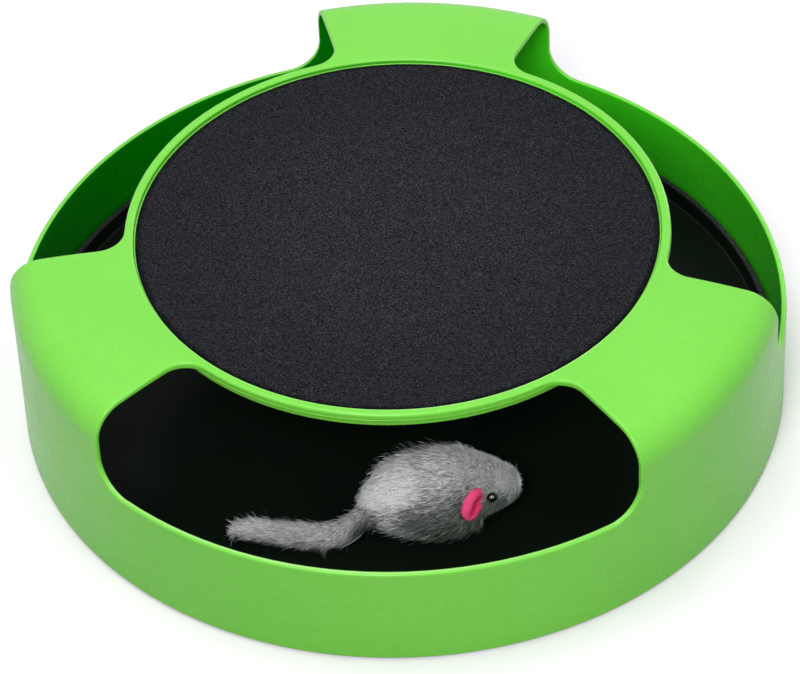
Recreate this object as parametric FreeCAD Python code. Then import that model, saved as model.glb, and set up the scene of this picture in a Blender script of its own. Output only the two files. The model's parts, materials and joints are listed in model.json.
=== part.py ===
import FreeCAD, Part
import math
import os
from FreeCAD import Vector

os.makedirs("parts", exist_ok=True)

# Lengths are in millimetres and angles in degrees. +Z is up, the table is z = 0,
# the turntable's axis is the Z axis and the front window is centred on -Y.

# Housing, one green moulding
table_gap = 0.8               # skirt edge above the table
shell_radius = 125.0          # outside, at the skirt edge
shell_draft = 0.6             # radius lost between the skirt edge and the shoulder
shell_height = 66.5           # skirt edge to rim top
shoulder_radius = 11.5
crown_radius = 290.0          # gentle fall of the bridges from the rim to the shoulder
shell_wall = 1.8
rim_thickness = 2.4           # housing's wall where it meets the rim
edge_round = 0.8              # outer corner of the window edges and the rim
edge_round_inside = 0.5
skirt_edge_round = 0.6

# Three windows, with a bridge between each two
window_stations = (-90.0, 30.0, 150.0)
window_half_angles = (41.9, 41.1, 41.1)
window_sill = 36.5            # low wall's height above the skirt edge
sill_corner_radius = 11.0
rim_corner_radius = 9.0

# Recess for the scratch pad and the flange round it
recess_radius = 84.0
recess_depth = 3.2
recess_wall = 1.8
rim_overhang = 1.2
recess_plate = 2.0
plate_rib_count = 6
plate_rib_height = 3.0
plate_rib_width = 1.6
plate_rib_end = 9.0           # ribs end this far inside the recess

# Centre column, part of the housing, whose lower end is the turntable's journal
journal_radius = 10.0
column_radius = 14.0
column_top_radius = 16.0
column_bore_radius = 7.5
column_end = 8.0              # thickness of the closed lower end
hub_end_gap = 0.6             # between the hub and the column's shoulder

# Scratch pad
pad_thickness = 1.8
pad_edge_gap = 0.3
adhesive_thickness = 0.2
adhesive_margin = 1.5

# Base tray
foot_proud = 2.4              # tray's underside above the table
tray_thickness = 2.2
tray_edge_gap = 0.4
plateau_height = 3.2          # column seat above the tray's floor
plateau_gap = 0.2             # plateau inside the hub's bore
screw_recess_radius = 6.2
washer_seat_height = 0.4
support_ring_inset = 27.1     # inside the turntable's edge
support_ring_width = 2.0
support_ring_gap = 0.4        # under the turntable's floor
bead_radii = (40.0, 70.0)     # stiffening beads on the underside
bead_width = 3.0
bead_height = 0.5

# Snap lugs and stops on the skirt, which hold the tray's edge between them
lug_count = 6
lug_width_angle = 6.0
lug_depth = 1.0
lug_height = 1.2
stop_height = 1.4
snap_gap = 0.1

# Rubber feet
foot_count = 6
foot_radius = 6.0
foot_inset = 16.8             # centre of a foot, inside the tray's edge
foot_pocket_depth = 0.8
foot_pocket_gap = 0.15
foot_edge_round = 0.5

# Turntable
thrust_washer_thickness = 1.0
thrust_washer_radius = 16.5
journal_gap = 0.06            # radial, all round the journal
running_gap = 0.05            # between the hub and the thrust washer
hub_drop = 0.75               # hub's lower end below the floor's underside
hub_radius = 15.0
hub_rise = 9.6                # hub's upper end above the floor
floor_thickness = 2.0
turntable_edge_gap = 0.5
rim_height = 5.4
rim_foot_width = 2.6          # rim's width at the floor
rim_top_width = 1.6
rim_edge_round = 0.4
mark_count = 8                # faint round ejector marks in the floor
mark_radius = 4.2
mark_depth = 0.2
mark_inset = 14.1             # centre of a mark, inside the turntable's edge
mark_first_station = 38.0

# Screws
centre_screw_radius = 1.9
centre_screw_length = 9.0
centre_head_radius = 3.8
centre_head_height = 2.0
centre_washer_radius = 5.5
centre_washer_thickness = 0.8
mouse_screw_radius = 1.4
mouse_screw_length = 10.0
mouse_head_radius = 2.8
mouse_head_height = 1.4
mouse_screw_spacing = 16.0
thread_gap = 0.05             # a screw in its pilot hole
screw_clearance = 0.3         # a screw in its plain hole
cross_width = 0.8
cross_depth = 0.9

# Mouse. Its own frame: x towards the snout, y to its left, z = 0 on the turntable's floor.
mouse_inset = 45.1            # its axis, inside the turntable's edge
mouse_station = -75.5
mouse_axis_height = 14.5
# body and head: (place along x, radius)
body_sections = ((-23.2, 3.6), (-20.6, 7.6), (-15.5, 11.7), (-8.0, 13.7),
                 (0.5, 14.2), (7.5, 13.2), (11.2, 11.7), (13.6, 10.1))
head_sections = ((8.0, 10.9), (14.0, 10.0), (20.0, 6.9), (25.2, 4.5))
core_sections = ((-18.5, 5.0), (-13.5, 9.2), (-6.0, 11.2), (3.0, 11.2), (9.5, 8.8),
                 (15.0, 6.0), (20.0, 3.8))
# tail: (x, y, z) along its centre line, and the radius at each
tail_line = ((-20.0, 0.0, 12.6), (-26.4, -1.6, 8.6), (-33.2, -3.2, 5.7), (-41.1, -1.9, 4.8),
             (-48.7, 0.1, 4.8), (-57.5, 2.9, 4.7), (-65.0, 4.8, 4.4))
tail_radii = (5.6, 4.7, 4.5, 4.5, 4.5, 4.4, 3.2)
glue_gap = 0.15               # between the fur skin and the core
belly_gap = 0.2               # fur above the floor
boss_radius = 3.6             # core's two screw bosses, down to the floor
mouse_roll = 7.0              # its right side is turned up by this
eye_radius = 1.6
eye_x = 15.4
eye_angle = 77.0              # from the top, round the head
eye_sink = 0.6                # part of the radius that lies in the fur
ear_x = 9.2
ear_angle = 78.0
ear_lean = 26.0               # top of the ear forward
ear_height = 10.6
ear_width = 6.6
ear_thickness = 1.2
ear_stand = 1.7               # its edge above the fur
ear_floor = 0.5               # its hollow above the fur
ear_seat_gap = 0.03           # between the ear and the fur under it

# Heights that follow
skirt_z = table_gap
top_z = table_gap + shell_height
sill_z = table_gap + window_sill
flange_under_z = top_z - rim_thickness
recess_z = top_z - recess_depth
plate_under_z = recess_z - recess_plate
tray_top_z = foot_proud + tray_thickness
washer_seat_z = tray_top_z + washer_seat_height
plateau_z = tray_top_z + plateau_height
hub_bottom_z = washer_seat_z + thrust_washer_thickness + running_gap
floor_under_z = hub_bottom_z + hub_drop
floor_z = floor_under_z + floor_thickness
hub_top_z = floor_z + hub_rise
column_shoulder_z = hub_top_z + hub_end_gap
rim_top_z = floor_z + rim_height

# Radii that follow
shoulder_outer_radius = shell_radius - shell_draft
skirt_inner_radius = shell_radius - shell_wall
recess_outer_radius = recess_radius + recess_wall
rim_outer_radius = recess_outer_radius + rim_overhang
tray_radius = skirt_inner_radius - tray_edge_gap
turntable_radius = skirt_inner_radius - shell_draft - turntable_edge_gap
foot_circle_radius = tray_radius - foot_inset
support_ring_radius = turntable_radius - support_ring_inset
mark_circle_radius = turntable_radius - mark_inset
mouse_track_radius = turntable_radius - mouse_inset
bore_radius = journal_radius + journal_gap
overcut = 10.0                # cutters run this far past what they cut

# The bridges' crown is level at the rim and meets the shoulder's arc smoothly
shoulder_centre_r = shoulder_outer_radius - shoulder_radius
crown_reach = shoulder_centre_r - rim_outer_radius
crown_drop = math.sqrt((crown_radius - shoulder_radius) ** 2 - crown_reach ** 2)
shoulder_z = top_z - crown_radius + crown_drop


def turned(outline):
    """Solid of revolution about Z. A corner is (radius, height); one that an arc reaches is
    (radius, height, radius and height of the arc's mid point)."""
    edges = []
    for last, corner in zip(outline, outline[1:] + outline[:1]):
        start = Vector(last[0], 0, last[1])
        end = Vector(corner[0], 0, corner[1])
        if len(corner) == 4:
            middle = Vector(corner[2], 0, corner[3])
            edges.append(Part.Arc(start, middle, end).toShape())
        else:
            edges.append(Part.makeLine(start, end))
    face = Part.Face(Part.Wire(edges))
    return face.revolve(Vector(0, 0, 0), Vector(0, 0, 1), 360)


def tube(inner, outer, low, high):
    return turned([(inner, low), (outer, low), (outer, high), (inner, high)])


def disc(radius, low, high, x=0.0, y=0.0):
    return Part.makeCylinder(radius, high - low, Vector(x, y, low))


def turnedAbout(shape, angle):
    copy = shape.copy()
    copy.rotate(Vector(0, 0, 0), Vector(0, 0, 1), angle)
    return copy


def onCircle(radius, angle):
    return radius * math.cos(math.radians(angle)), radius * math.sin(math.radians(angle))


def shoulderOutline(inset, rim_inset):
    """Corners from the shoulder's foot, by two arcs, to the crown's inner end at the rim. The
    insets are measured from the outside, at the shoulder and at the rim."""
    small = shoulder_radius - inset
    large = crown_radius - inset
    join = math.atan2(crown_drop, crown_reach)
    crown_z = top_z - crown_radius
    middle = join / 2
    upper = (join + math.pi / 2) / 2
    growth = rim_inset - inset
    return [
        (shoulder_centre_r + small, shoulder_z),
        (
            rim_outer_radius + large * math.cos(join), crown_z + large * math.sin(join),
            shoulder_centre_r + small * math.cos(middle), shoulder_z + small * math.sin(middle),
        ),
        (
            rim_outer_radius, top_z - rim_inset,
            rim_outer_radius + large * math.cos(upper), crown_z + large * math.sin(upper) - growth / 2,
        ),
    ]


def sector(inner, outer, low, high, centre_angle, half_angle):
    """Ring segment, symmetric about centre_angle."""
    start = centre_angle - half_angle
    face = Part.Face(Part.Wire([
        Part.makeLine(Vector(inner, 0, low), Vector(outer, 0, low)),
        Part.makeLine(Vector(outer, 0, low), Vector(outer, 0, high)),
        Part.makeLine(Vector(outer, 0, high), Vector(inner, 0, high)),
        Part.makeLine(Vector(inner, 0, high), Vector(inner, 0, low)),
    ]))
    solid = face.revolve(Vector(0, 0, 0), Vector(0, 0, 1), 2 * half_angle)
    return turnedAbout(solid, start)


def edgesOn(shape, first, second, reach=0.02):
    """Edges whose mid point lies on both of two surfaces."""
    found = []
    for edge in shape.Edges:
        low, high = edge.ParameterRange
        middle = Part.Vertex(edge.valueAt((low + high) / 2))
        if middle.distToShape(first)[0] < reach and middle.distToShape(second)[0] < reach:
            found.append(edge)
    return found


def windowCutter(station, half_angle):
    """Ring segment with rounded upright corners beside the rim and rounded lower corners."""
    outer = shell_radius + overcut
    plan = sector(rim_outer_radius, outer, sill_z, top_z + overcut, station, half_angle)
    upright = [
        edge for edge in plan.Edges
        if isinstance(edge.Curve, (Part.Line, Part.LineSegment))
        and all(abs(math.hypot(v.X, v.Y) - rim_outer_radius) < 0.01 for v in edge.Vertexes)
    ]
    plan = plan.makeFillet(rim_corner_radius, upright)
    front = sector(recess_radius / 2, outer, sill_z, top_z + overcut, station, half_angle)
    lower = [
        edge for edge in front.Edges
        if isinstance(edge.Curve, (Part.Line, Part.LineSegment))
        and all(abs(v.Z - sill_z) < 0.01 for v in edge.Vertexes)
    ]
    front = front.makeFillet(sill_corner_radius, lower)
    return plan.common(front)


def housingOuter():
    return turned([(0, skirt_z), (shell_radius, skirt_z)] + shoulderOutline(0, 0) + [(0, top_z)])


def housingCavity():
    slope = shell_draft / (shoulder_z - skirt_z)
    below = skirt_z - overcut
    return turned([(0, below), (skirt_inner_radius + slope * overcut, below)]
                  + shoulderOutline(shell_wall, rim_thickness)
                  + [
                      (recess_outer_radius, flange_under_z),
                      (recess_outer_radius, plate_under_z),
                      (0, plate_under_z),
                  ])


def column():
    return turned([
        (0, plateau_z),
        (journal_radius, plateau_z),
        (journal_radius, column_shoulder_z),
        (column_radius, column_shoulder_z),
        (column_top_radius, plate_under_z),
        (column_top_radius, recess_z),
        (0, recess_z),
    ])


def columnBore():
    bore = disc(column_bore_radius, plateau_z + column_end, recess_z + overcut)
    pilot = disc(centre_screw_radius + thread_gap, plateau_z - 1, plateau_z + column_end + 1)
    return bore.fuse(pilot)


def plateRibs():
    ribs = []
    for number in range(plate_rib_count):
        rib = Part.makeBox(
            recess_radius - plate_rib_end - column_radius, plate_rib_width,
            plate_rib_height + recess_plate / 2,
            Vector(column_radius, -plate_rib_width / 2, plate_under_z - plate_rib_height),
        )
        ribs.append(turnedAbout(rib, 360 / plate_rib_count * number))
    return ribs


def skirtLugs():
    """Snap lugs under the tray's edge and stops over it."""
    root = skirt_inner_radius + shell_wall / 2
    tip = skirt_inner_radius - lug_depth
    lug_top = foot_proud - snap_gap
    stop_low = tray_top_z + snap_gap
    found = []
    for number in range(lug_count):
        station = 360 / lug_count * number
        half = lug_width_angle / 2
        found.append(sector(tip, root, lug_top - lug_height, lug_top, station, half))
        found.append(sector(tip, root, stop_low, stop_low + stop_height, station, half))
    return found


def shell():
    outer = housingOuter()
    cavity = housingCavity()
    recess = disc(recess_radius, recess_z, top_z + overcut)
    openings = [
        windowCutter(station, half) for station, half in zip(window_stations, window_half_angles)
    ]
    body = outer.cut([cavity, recess] + openings)
    cut_faces = Part.makeCompound([opening.Shells[0] for opening in openings])
    rim_hole = Part.makeCompound(recess.Shells)
    outer_skin = Part.makeCompound(outer.Shells)
    inner_skin = Part.makeCompound(cavity.Shells)
    body = body.makeFillet(edge_round, edgesOn(body, cut_faces, outer_skin))
    body = body.makeFillet(edge_round_inside, edgesOn(body, cut_faces, inner_skin))
    body = body.makeFillet(edge_round, edgesOn(body, rim_hole, outer_skin))
    skirt = [
        edge for edge in body.Edges
        if all(abs(v.Z - skirt_z) < 0.01 and abs(math.hypot(v.X, v.Y) - shell_radius) < 0.01
               for v in edge.Vertexes)
    ]
    body = body.makeFillet(skirt_edge_round, skirt)
    body = body.fuse([column()] + plateRibs() + skirtLugs())
    return body.cut(columnBore()).removeSplitter()


def scratchPad():
    low = recess_z + adhesive_thickness
    return disc(recess_radius - pad_edge_gap, low, low + pad_thickness)


def padAdhesive():
    radius = recess_radius - pad_edge_gap - adhesive_margin
    return disc(radius, recess_z, recess_z + adhesive_thickness)


def footStations():
    return [30 + 360 / foot_count * number for number in range(foot_count)]


def baseTray():
    plateau_radius = bore_radius - plateau_gap
    recess_top = plateau_z - tray_thickness
    body = turned([
        (0, foot_proud),
        (tray_radius, foot_proud),
        (tray_radius, tray_top_z),
        (thrust_washer_radius, tray_top_z),
        (thrust_washer_radius, washer_seat_z),
        (plateau_radius, washer_seat_z),
        (plateau_radius, plateau_z),
        (0, plateau_z),
    ])
    half = support_ring_width / 2
    ring_top = floor_under_z - support_ring_gap
    added = [tube(support_ring_radius - half, support_ring_radius + half, foot_proud, ring_top)]
    for radius in bead_radii:
        added.append(tube(
            radius - bead_width / 2, radius + bead_width / 2, foot_proud - bead_height, tray_top_z,
        ))
    body = body.fuse(added)
    cutters = [
        disc(screw_recess_radius, foot_proud - 1, recess_top),
        disc(centre_screw_radius + screw_clearance, recess_top - 1, plateau_z + 1),
    ]
    for station in footStations():
        x, y = onCircle(foot_circle_radius, station)
        cutters.append(disc(
            foot_radius + foot_pocket_gap, foot_proud - 1, foot_proud + foot_pocket_depth, x, y,
        ))
    return body.cut(cutters).removeSplitter()


def foot(station):
    x, y = onCircle(foot_circle_radius, station)
    body = disc(foot_radius, 0, foot_proud + foot_pocket_depth, x, y)
    bottom = [edge for edge in body.Edges if all(abs(v.Z) < 0.01 for v in edge.Vertexes)]
    return body.makeFillet(foot_edge_round, bottom)


def thrustWasher():
    top = washer_seat_z + thrust_washer_thickness
    return tube(bore_radius + journal_gap, thrust_washer_radius, washer_seat_z, top)


def mousePlacement():
    x, y = onCircle(mouse_track_radius, mouse_station)
    return FreeCAD.Placement(
        Vector(x, y, floor_z),
        FreeCAD.Rotation(Vector(0, 0, 1), mouse_station + 90),
    )


def placed(shape):
    """A shape of the mouse's own frame, carried to its station on the turntable."""
    copy = shape.copy()
    copy.Placement = mousePlacement().multiply(copy.Placement)
    return copy


def mouseScrewPlaces():
    return (-mouse_screw_spacing / 2, mouse_screw_spacing / 2)


def turntable():
    body = turned([
        (bore_radius, hub_bottom_z),
        (hub_radius, hub_bottom_z),
        (hub_radius, floor_under_z),
        (turntable_radius, floor_under_z),
        (turntable_radius, rim_top_z),
        (turntable_radius - rim_top_width, rim_top_z),
        (turntable_radius - rim_foot_width, floor_z),
        (hub_radius, floor_z),
        (hub_radius, hub_top_z),
        (bore_radius, hub_top_z),
    ])
    rim_edges = [
        edge for edge in body.Edges
        if all(abs(v.Z - rim_top_z) < 0.01 for v in edge.Vertexes)
        and isinstance(edge.Curve, Part.Circle)
    ]
    body = body.makeFillet(rim_edge_round, rim_edges)
    cutters = []
    for number in range(mark_count):
        x, y = onCircle(mark_circle_radius, mark_first_station + 360 / mark_count * number)
        cutters.append(disc(mark_radius, floor_z - mark_depth, floor_z + 1, x, y))
    for place in mouseScrewPlaces():
        hole = disc(mouse_screw_radius + screw_clearance, -floor_thickness - 1, 1, place, 0)
        cutters.append(placed(hole))
    return body.cut(cutters)


def screw(shank_radius, length, head_radius, head_height):
    """Pan-head self-tapping screw pointing up, with the underside of its head at z = 0."""
    rounding = head_height / 2
    point = shank_radius * 1.5
    corner = rounding * (1 - math.sqrt(0.5))
    body = turned([
        (0, -head_height),
        (head_radius - rounding, -head_height),
        (head_radius, -head_height + rounding, head_radius - corner, -head_height + corner),
        (head_radius, 0),
        (shank_radius, 0),
        (shank_radius, length - point),
        (shank_radius / 4, length),
        (0, length),
    ])
    slots = []
    for width, breadth in ((cross_width, head_radius), (head_radius, cross_width)):
        slots.append(Part.makeBox(
            width, breadth, cross_depth + 1,
            Vector(-width / 2, -breadth / 2, -head_height - 1),
        ))
    return body.cut(slots)


def centreWasher():
    top = plateau_z - tray_thickness
    inner = centre_screw_radius + screw_clearance
    return tube(inner, centre_washer_radius, top - centre_washer_thickness, top)


def centreScrew():
    body = screw(centre_screw_radius, centre_screw_length, centre_head_radius, centre_head_height)
    body.translate(Vector(0, 0, plateau_z - tray_thickness - centre_washer_thickness))
    return body


def mouseScrews():
    screws = []
    for place in mouseScrewPlaces():
        body = screw(mouse_screw_radius, mouse_screw_length, mouse_head_radius, mouse_head_height)
        body.translate(Vector(place, 0, -floor_thickness))
        screws.append(placed(body))
    return Part.makeCompound(screws)


def ringSection(centre, direction, radius):
    """Circle made of four quarter arcs, square to a direction that is nearly level."""
    along = Vector(direction).normalize()
    side = Vector(0, 0, 1).cross(along).normalize()
    up = along.cross(side)
    points = []
    for eighth in range(8):
        turn = math.radians(45 * eighth)
        points.append(centre + side * (radius * math.cos(turn)) + up * (radius * math.sin(turn)))
    arcs = []
    for start in range(0, 8, 2):
        arcs.append(Part.Arc(points[start], points[start + 1], points[(start + 2) % 8]).toShape())
    return Part.Wire(arcs)


def egg(sections, growth=0.0):
    """Loft through circles along the mouse's axis."""
    forward = Vector(1, 0, 0)
    rings = []
    for place, radius in sections:
        rings.append(ringSection(Vector(place, 0, mouse_axis_height), forward, radius + growth))
    return Part.makeLoft(rings, True, False)


def aboveFloor(shape, gap):
    span = 200.0
    return shape.common(Part.makeBox(span, span, span, Vector(-span / 2, -span / 2, gap)))


def screwBosses(growth=0.0):
    bosses = []
    for place in mouseScrewPlaces():
        bosses.append(disc(boss_radius + growth, 0, mouse_axis_height, place, 0))
    return bosses


def coreShape():
    body = egg(core_sections).fuse(screwBosses())
    pilots = []
    for place in mouseScrewPlaces():
        depth = mouse_screw_length - floor_thickness + 1
        pilots.append(disc(mouse_screw_radius + thread_gap, -1, depth, place, 0))
    return body.cut(pilots).removeSplitter()


def coreSpace():
    return egg(core_sections, glue_gap).fuse(screwBosses(glue_gap))


def onHead(place, angle, outwards, side):
    """Point at an angle from the mouse's own top round its axis; side is 1 for its left."""
    turn = math.radians(angle + side * mouse_roll)
    return Vector(
        place,
        side * outwards * math.sin(turn),
        mouse_axis_height + outwards * math.cos(turn),
    )


def radiusAt(sections, place):
    """Radius between two sections, in proportion."""
    for (low, first), (high, second) in zip(sections, sections[1:]):
        if low <= place <= high:
            return first + (second - first) * (place - low) / (high - low)
    return sections[-1][1]


def eyeReach():
    """From the mouse's axis to the bead's centre."""
    return radiusAt(head_sections, eye_x) + eye_radius * (1 - 2 * eye_sink)


def eye(side):
    return Part.makeSphere(eye_radius, onHead(eye_x, eye_angle, eyeReach(), side))


def eyeSocket(side):
    """Round hole in the fur, with the bead on its floor."""
    floor = onHead(eye_x, eye_angle, eyeReach() - eye_radius - thread_gap, side)
    mouth = onHead(eye_x, eye_angle, eyeReach() + 2 * eye_radius, side)
    return Part.makeCylinder(eye_radius + thread_gap, (mouth - floor).Length, floor, mouth - floor)


def ear(side):
    """Oval dish that follows the body's roundness, with its top leaning forward."""

    def oval(height, width):
        edge = Part.Ellipse(Vector(0, 0, 0), height / 2, width / 2).toShape()
        solid = Part.Face(Part.Wire(edge)).extrude(Vector(0, 0, mouse_axis_height + ear_height))
        solid.rotate(Vector(0, 0, 0), Vector(0, 0, 1), 90 + side * ear_lean)
        solid.rotate(Vector(0, 0, 0), Vector(1, 0, 0), -side * (ear_angle + side * mouse_roll))
        solid.translate(Vector(ear_x, 0, mouse_axis_height))
        return solid

    raised = oval(ear_height, ear_width).common(egg(body_sections, ear_stand))
    hollow = oval(ear_height - 2 * ear_thickness, ear_width - 2 * ear_thickness)
    return raised.cut(hollow.cut(egg(body_sections, ear_floor)))


def mouseBodyShape(growth=0.0):
    return aboveFloor(egg(body_sections, growth), belly_gap)


def mouseHeadShape(growth=0.0):
    return aboveFloor(egg(head_sections, growth), belly_gap).cut(mouseBodyShape())


def mouseTailShape():
    rings = []
    for number, (place, radius) in enumerate(zip(tail_line, tail_radii)):
        before = tail_line[max(number - 1, 0)]
        after = tail_line[min(number + 1, len(tail_line) - 1)]
        rings.append(ringSection(Vector(place), Vector(after) - Vector(before), radius))
    tail = aboveFloor(Part.makeLoft(rings, True, False), belly_gap)
    return tail.cut(mouseBodyShape())


def build():
    space = coreSpace()
    sockets = [eyeSocket(side) for side in (1, -1)]
    body = mouseBodyShape().cut(space)
    head = mouseHeadShape().cut([space] + sockets)
    seats = [mouseBodyShape(ear_seat_gap), mouseHeadShape(ear_seat_gap)]
    pieces = {
        "shell": shell(),
        "scratch_pad": scratchPad(),
        "pad_adhesive": padAdhesive(),
        "base_tray": baseTray(),
        "thrust_washer": thrustWasher(),
        "centre_washer": centreWasher(),
        "centre_screw": centreScrew(),
        "turntable": turntable(),
        "mouse_screws": mouseScrews(),
        "mouse_core": placed(coreShape()),
        "mouse_body": placed(body),
        "mouse_head": placed(head),
        "mouse_tail": placed(mouseTailShape()),
        "mouse_ear_left": placed(ear(1).cut(seats)),
        "mouse_ear_right": placed(ear(-1).cut(seats)),
        "mouse_eye_left": placed(eye(1)),
        "mouse_eye_right": placed(eye(-1)),
    }
    for number, station in enumerate(footStations()):
        pieces["foot_%d" % (number + 1)] = foot(station)
    return pieces


for name, shape in build().items():
    solids = shape.Solids
    print("%-16s solids %d valid %s volume %.2f cm3" % (
        name, len(solids), shape.isValid(), shape.Volume / 1000))
    if len(solids) == 1:
        shape = solids[0]
    shape.exportStep("parts/%s.step" % name)
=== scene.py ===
import json
import math

import bpy
import numpy as np
from mathutils import Matrix, Vector


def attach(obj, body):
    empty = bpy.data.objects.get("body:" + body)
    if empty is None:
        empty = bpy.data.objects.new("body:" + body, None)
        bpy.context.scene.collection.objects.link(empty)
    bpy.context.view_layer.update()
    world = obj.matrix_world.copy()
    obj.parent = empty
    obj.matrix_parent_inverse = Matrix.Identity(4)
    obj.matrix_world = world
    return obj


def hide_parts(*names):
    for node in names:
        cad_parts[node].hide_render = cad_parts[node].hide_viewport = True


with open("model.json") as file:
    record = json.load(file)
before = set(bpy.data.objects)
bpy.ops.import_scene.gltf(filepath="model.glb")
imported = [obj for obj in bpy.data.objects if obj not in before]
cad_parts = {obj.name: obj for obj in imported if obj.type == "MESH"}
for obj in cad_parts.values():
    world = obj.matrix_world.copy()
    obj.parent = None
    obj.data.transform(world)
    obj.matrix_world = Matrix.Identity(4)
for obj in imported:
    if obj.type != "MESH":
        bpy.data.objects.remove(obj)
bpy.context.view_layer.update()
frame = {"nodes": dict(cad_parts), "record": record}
mm = 0.001
nodes = frame["nodes"]
print("frame loaded:", len(nodes), "nodes")


class Wire:
    # An output of a shader graph. Arithmetic on it, also with plain numbers, adds Math nodes.
    def __init__(self, graph, socket):
        self.graph = graph
        self.socket = socket

    def __add__(self, other):
        return self.graph.math("ADD", self, other)

    def __radd__(self, other):
        return self.graph.math("ADD", other, self)

    def __sub__(self, other):
        return self.graph.math("SUBTRACT", self, other)

    def __rsub__(self, other):
        return self.graph.math("SUBTRACT", other, self)

    def __mul__(self, other):
        return self.graph.math("MULTIPLY", self, other)

    def __rmul__(self, other):
        return self.graph.math("MULTIPLY", other, self)

    def smooth(self, low, high):
        # 0 up to low, 1 from high, and an S between them
        return self.graph.node(
            "ShaderNodeMapRange", {"interpolation_type": "SMOOTHSTEP"},
            {"Value": self, "From Min": low, "From Max": high},
        )


class Graph:
    # The node tree of a material or a world, built from calls of one method
    def __init__(self, owner):
        self.owner = owner
        owner.use_nodes = True
        self.tree = owner.node_tree
        self.tree.nodes.clear()

    def node(self, kind, settings=None, inputs=None, out=0):
        # A new node: its settings come first, then a value or a link for each of its inputs
        made = self.tree.nodes.new(kind)
        for key, value in (settings or {}).items():
            if key == "stops":
                ramp = made.color_ramp.elements
                while len(ramp) < len(value):
                    ramp.new(0.5)
                for stop, (place, colour) in zip(ramp, value):
                    stop.position = place
                    stop.color = (*colour, 1)
            else:
                setattr(made, key, value)
        for key, value in (inputs or {}).items():
            if isinstance(value, Wire):
                self.tree.links.new(value.socket, made.inputs[key])
            else:
                made.inputs[key].default_value = value
        return Wire(self, made.outputs[out]) if made.outputs else None

    def place(self, size=(1, 1, 1)):
        # Object coordinates, counted in millimetres or in a size for each axis
        return self.node("ShaderNodeMapping", {"vector_type": "TEXTURE"}, {
            "Vector": self.node("ShaderNodeTexCoord", out="Object"),
            "Scale": tuple(mm * side for side in size),
        })

    def part(self, place, axis):
        # One coordinate of a place
        return self.node("ShaderNodeSeparateXYZ", {}, {0: place}, out=axis)

    def levelled(self, place):
        # A place with its height left out
        return self.node("ShaderNodeVectorMath", {"operation": "MULTIPLY"}, {0: place, 1: (1, 1, 0)})

    def radius(self, place):
        # How far a place is from the upright axis
        across = self.levelled(place)
        return self.node("ShaderNodeVectorMath", {"operation": "LENGTH"}, {0: across}, out="Value")

    def tone(self):
        # The tone that the points of a piece carry
        return self.node("ShaderNodeAttribute", {"attribute_name": "tone"}, out="Fac")

    def math(self, kind, first, second):
        return self.node("ShaderNodeMath", {"operation": kind}, {0: first, 1: second})

    def band(self, value, middle, half):
        # 1 where a value is within half the band's width of its middle, and 0 elsewhere
        return self.node("ShaderNodeMath", {"operation": "COMPARE"}, {0: value, 1: middle, 2: half})

    def noise(self, vector, scale, detail, roughness=0.5):
        return self.node("ShaderNodeTexNoise", {}, {
            "Vector": vector, "Scale": scale, "Detail": detail, "Roughness": roughness,
        })

    def uneven(self, place, middle, spread, scale):
        # A number that a noise raises and lowers by up to half the spread
        return middle + (self.noise(place, scale, 3) - 0.5) * spread

    def mix(self, factor, first, second):
        # The first colour at 0 and the second at 1, either of them a link or three numbers
        pair = [c if isinstance(c, Wire) else (*c, 1) for c in (first, second)]
        return self.node(
            "ShaderNodeMix", {"data_type": "RGBA"}, {0: factor, 6: pair[0], 7: pair[1]}, out=2,
        )

    def bump(self, height, distance, strength, normal=None):
        links = {"Height": height, "Distance": distance * mm, "Strength": strength}
        if normal is not None:
            links["Normal"] = normal
        return self.node("ShaderNodeBump", {}, links)

    def seen(self, mirrored):
        # 1 for what the camera sees, and a share of 1 for what a reflection shows
        rays = [self.node("ShaderNodeLightPath", out=out) for out in ("Is Camera Ray", "Is Glossy Ray")]
        return self.math("MAXIMUM", rays[0], rays[1] * mirrored)

    def surface(self, **sockets):
        shader = self.node("ShaderNodeBsdfPrincipled", {}, {
            key.replace("_", " "): (*value, 1) if "Color" in key and isinstance(value, tuple) else value
            for key, value in sockets.items()
        })
        self.node("ShaderNodeOutputMaterial", {}, {"Surface": shader})
        return self.owner


def newMaterial(name):
    return Graph(bpy.data.materials.new(name))


# in all finishes a noise is its scale per millimetre, detail and roughness, a bump is its height in
# millimetres and its strength, and rough is the spread of the roughness and the scale of its noise
greenLook = dict(
    base=(0.225, 0.755, 0.072), broad=(0.206, 0.727, 0.062), broadNoise=(0.02, 2), broadFrom=(0.35, 0.7),
    # faces that look to the axis, by their distance from it, and the painted light and shade on them from
    # left to right across it
    inward=(60, 100), across=250.0,
    inner=((0.0, (0.001, 0.33, 0.001)), (0.45, (0.001, 0.36, 0.001)), (0.64, (0.09, 1.0, 0.02)),
           (0.8, (0.06, 0.82, 0.016)), (0.92, (0.055, 0.66, 0.014))),
    grain=(2.2, 2, 0.6), grainBump=(0.012, 0.5), wave=(0.05, 1), waveBump=(0.14, 0.3),
    roughness=0.27, rough=(0.1, 0.15), index=1.45, milky=0.4, milkyReach=(0.4, 1.0, 0.15), milkyDepth=2.0,
)

# painted highlights: pale lines along the edges of the sill and the rim, where light catches them. Of each:
# radius, half width and lowest height, and then the stretches over which each line comes in towards the
# front, changes to the right and ends at its top
edgeHighlightLook = dict(
    colour=(0.6, 0.95, 0.38), share=0.7, blur=0.15,
    sill=dict(radius=123.5, half=0.3, low=36.9, ahead=(20, 70), right=(-20, 60), loss=0.5, top=(39, 41)),
    rim=dict(radius=84.6, half=0.25, low=66.9, ahead=(15, 60), right=(-10, 20), left=0.25, gain=0.35),
)


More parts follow.
